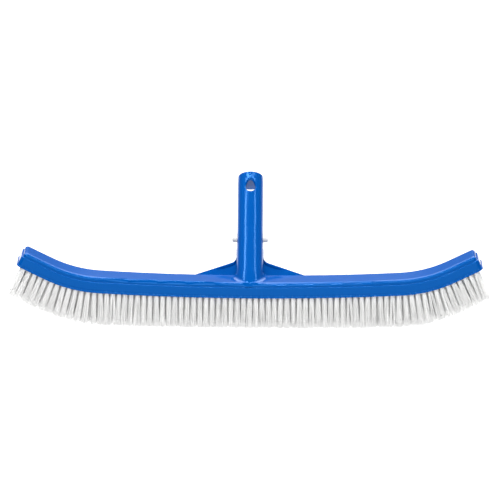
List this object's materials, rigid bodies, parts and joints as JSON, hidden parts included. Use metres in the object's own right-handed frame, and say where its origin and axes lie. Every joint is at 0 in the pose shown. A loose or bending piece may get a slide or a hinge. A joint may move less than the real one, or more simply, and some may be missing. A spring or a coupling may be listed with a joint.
{
  "type": "pool wall brush",
  "caption": "Wide curved pool wall brush: blue plastic back with a pole handle at 45 degrees, spring lock buttons and white nylon tufts.",
  "frame": {"origin": "on the floor under the middle of the bounding box, with the brush standing on its bristle tips", "axes": "+X along the head, +Z from the bristle tips towards the back, the handle leans towards +Y"},
  "size_m": [0.528, 0.123, 0.1502],
  "materials": {
    "blue_plastic": "semi-gloss moulded blue ABS",
    "clip_nylon": "natural white nylon",
    "bristle_nylon": "white nylon filament",
    "anchor_wire": "drawn flat wire"
  },
  "bodies": {
    "brush": {"back": "blue_plastic", "bristle_block": "blue_plastic", "clip_bow": "clip_nylon", "tufts_row_1_left": "bristle_nylon", "tufts_row_1_middle": "bristle_nylon", "tufts_row_1_right": "bristle_nylon", "tufts_row_2_left": "bristle_nylon", "tufts_row_2_middle": "bristle_nylon", "tufts_row_2_right": "bristle_nylon", "tufts_row_3_left": "bristle_nylon", "tufts_row_3_middle": "bristle_nylon", "tufts_row_3_right": "bristle_nylon", "tufts_row_4_left": "bristle_nylon", "tufts_row_4_middle": "bristle_nylon", "tufts_row_4_right": "bristle_nylon", "tufts_row_5_left": "bristle_nylon", "tufts_row_5_middle": "bristle_nylon", "tufts_row_5_right": "bristle_nylon", "anchors_row_1_left": "anchor_wire", "anchors_row_1_middle": "anchor_wire", "anchors_row_1_right": "anchor_wire", "anchors_row_2_left": "anchor_wire", "anchors_row_2_middle": "anchor_wire", "anchors_row_2_right": "anchor_wire", "anchors_row_3_left": "anchor_wire", "anchors_row_3_middle": "anchor_wire", "anchors_row_3_right": "anchor_wire", "anchors_row_4_left": "anchor_wire", "anchors_row_4_middle": "anchor_wire", "anchors_row_4_right": "anchor_wire", "anchors_row_5_left": "anchor_wire", "anchors_row_5_middle": "anchor_wire", "anchors_row_5_right": "anchor_wire"},
    "left_leg": {"clip_leg_left": "clip_nylon"},
    "right_leg": {"clip_leg_right": "clip_nylon"}
  },
  "joints": [
    {"name": "left_button", "type": "hinge", "parent": "brush", "child": "left_leg", "pos_m": [-0.0055, -0.02417, 0.06462], "axis": [0, 0.7071, -0.7071], "range_deg": [0, 9.2], "stiffness_Nm_per_rad": 1.6, "springref_deg": -2.86},
    {"name": "right_button", "type": "hinge", "parent": "brush", "child": "right_leg", "pos_m": [0.0055, -0.02417, 0.06462], "axis": [0, -0.7071, 0.7071], "range_deg": [0, 9.2], "stiffness_Nm_per_rad": 1.6, "springref_deg": -2.86}
  ]
}
